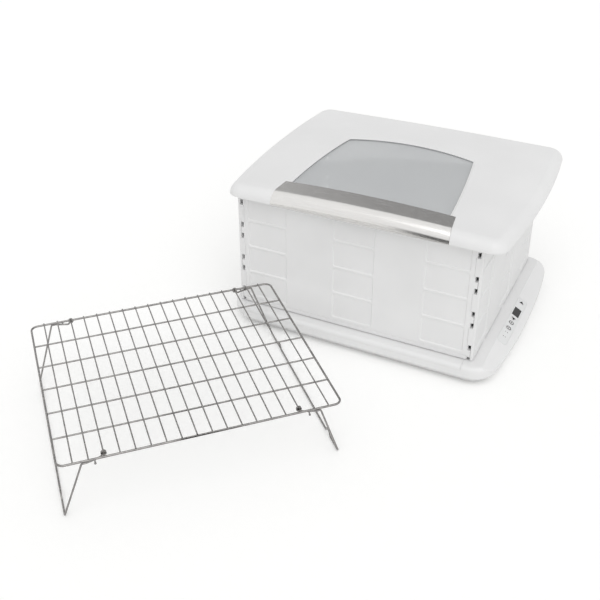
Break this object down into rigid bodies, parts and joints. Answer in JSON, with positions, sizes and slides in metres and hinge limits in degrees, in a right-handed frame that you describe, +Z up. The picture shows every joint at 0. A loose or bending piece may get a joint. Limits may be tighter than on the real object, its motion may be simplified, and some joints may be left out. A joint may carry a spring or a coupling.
{
  "type": "folding dough proofer with wire rack",
  "caption": "Folding heated proofing box with a domed, windowed lid, fold-down walls, a button console on its base and a wire rack on folding legs.",
  "frame": {"origin": "on the standing surface, under the middle of the base's outline", "axes": "+X to the right along the front, +Y to the back, +Z up"},
  "size_m": [0.6325, 0.8462, 0.2653],
  "materials": {
    "white_housing": "fine moulded texture",
    "white_wall": "fine moulded texture",
    "inner_plastic": "moulded",
    "foot_rubber": "matt rubber",
    "plate_aluminium": "rolled and anodised",
    "heater_foil": "etched foil",
    "insulation_felt": "needled felt",
    "sensor_metal": "turned",
    "overlay_film": "printed film",
    "button_plastic": "moulded, printed symbol",
    "display_black": "polished",
    "board_green": "solder resist",
    "screw_steel": "zinc plated",
    "pin_steel": "drawn",
    "inlet_black": "moulded",
    "smoky_pane": "polished polycarbonate",
    "gasket_rubber": "moulded",
    "trim_steel": "brushed along the front",
    "rack_wire": "nickel chrome plated wire"
  },
  "bodies": {
    "base": {"base_housing": "white_housing", "front_hinge_cover": "white_housing", "front_latches": "pin_steel", "base_pan": "white_housing", "base_feet": "foot_rubber", "base_screws": "screw_steel", "heating_plate": "plate_aluminium", "heating_element": "heater_foil", "insulation_pad": "insulation_felt", "temperature_sensor": "sensor_metal", "thermal_cutout": "sensor_metal", "control_overlay": "overlay_film", "display_lens": "display_black", "display_module": "display_black", "control_board": "board_green", "board_screws": "screw_steel", "button_switches": "display_black", "power_inlet": "inlet_black", "left_side_wall": "white_wall", "right_side_wall": "white_wall", "side_wall_pins": "pin_steel", "front_wall_pins": "pin_steel", "back_wall_pins": "pin_steel", "lid_hinge_brackets": "pin_steel", "lid_hinge_pins": "pin_steel"},
    "front_wall": {"front_wall": "white_wall"},
    "back_wall": {"back_wall": "white_wall"},
    "lid": {"lid_shell": "white_housing", "lid_liner": "inner_plastic", "window_gasket": "gasket_rubber", "window_pane": "smoky_pane", "handle_trim": "trim_steel", "lid_screws": "screw_steel", "lid_hinge_arms": "inner_plastic"},
    "water_tray": {"water_tray": "plate_aluminium"},
    "up_button": {"up_button": "button_plastic"},
    "down_button": {"down_button": "button_plastic"},
    "mode_button": {"mode_button": "button_plastic"},
    "power_button": {"power_button": "button_plastic"},
    "rack": {"rack_frame": "rack_wire", "rack_long_wires": "rack_wire", "rack_cross_wires": "rack_wire", "rack_leg_pivots": "rack_wire"},
    "rack_left_leg": {"rack_left_leg": "rack_wire"},
    "rack_right_leg": {"rack_right_leg": "rack_wire"}
  },
  "joints": [
    {"name": "lid_hinge", "type": "hinge", "parent": "base", "child": "lid", "pos_m": [-0.01, 0.1709, 0.2305], "axis": [-1, 0, 0], "range_deg": [0, 95]},
    {"name": "front_wall_fold", "type": "hinge", "parent": "base", "child": "front_wall", "pos_m": [-0.01, -0.1609, 0.04], "axis": [1, 0, 0], "range_deg": [-90, 0]},
    {"name": "back_wall_fold", "type": "hinge", "parent": "base", "child": "back_wall", "pos_m": [-0.01, 0.1609, 0.0471], "axis": [-1, 0, 0], "range_deg": [-90, 0]},
    {"name": "water_tray_lift", "type": "slide", "parent": "base", "child": "water_tray", "axis": [0, 0, 1], "range_m": [0, 0.12]},
    {"name": "up_button_press", "type": "slide", "parent": "base", "child": "up_button", "axis": [-0.5, 0, -0.866], "range_m": [0, 0.0006], "stiffness_N_per_m": 800, "springref_m": -0.0002},
    {"name": "down_button_press", "type": "slide", "parent": "base", "child": "down_button", "axis": [-0.5, 0, -0.866], "range_m": [0, 0.0006], "stiffness_N_per_m": 800, "springref_m": -0.0002},
    {"name": "mode_button_press", "type": "slide", "parent": "base", "child": "mode_button", "axis": [-0.5, 0, -0.866], "range_m": [0, 0.0006], "stiffness_N_per_m": 800, "springref_m": -0.0002},
    {"name": "power_button_press", "type": "slide", "parent": "base", "child": "power_button", "axis": [-0.5, 0, -0.866], "range_m": [0, 0.0006], "stiffness_N_per_m": 800, "springref_m": -0.0002},
    {"name": "rack_lift", "type": "slide", "parent": "base", "child": "rack", "axis": [0, 0, 1], "range_m": [0, 0.12]},
    {"name": "rack_left_leg_fold", "type": "hinge", "parent": "rack", "child": "rack_left_leg", "pos_m": [-0.25421, -0.51496, 0.0945], "axis": [0.7108, -0.7034, 0], "range_deg": [0, 115]},
    {"name": "rack_right_leg_fold", "type": "hinge", "parent": "rack", "child": "rack_right_leg", "pos_m": [-0.07499, -0.33384, 0.0945], "axis": [-0.7108, 0.7034, 0], "range_deg": [0, 115]}
  ]
}
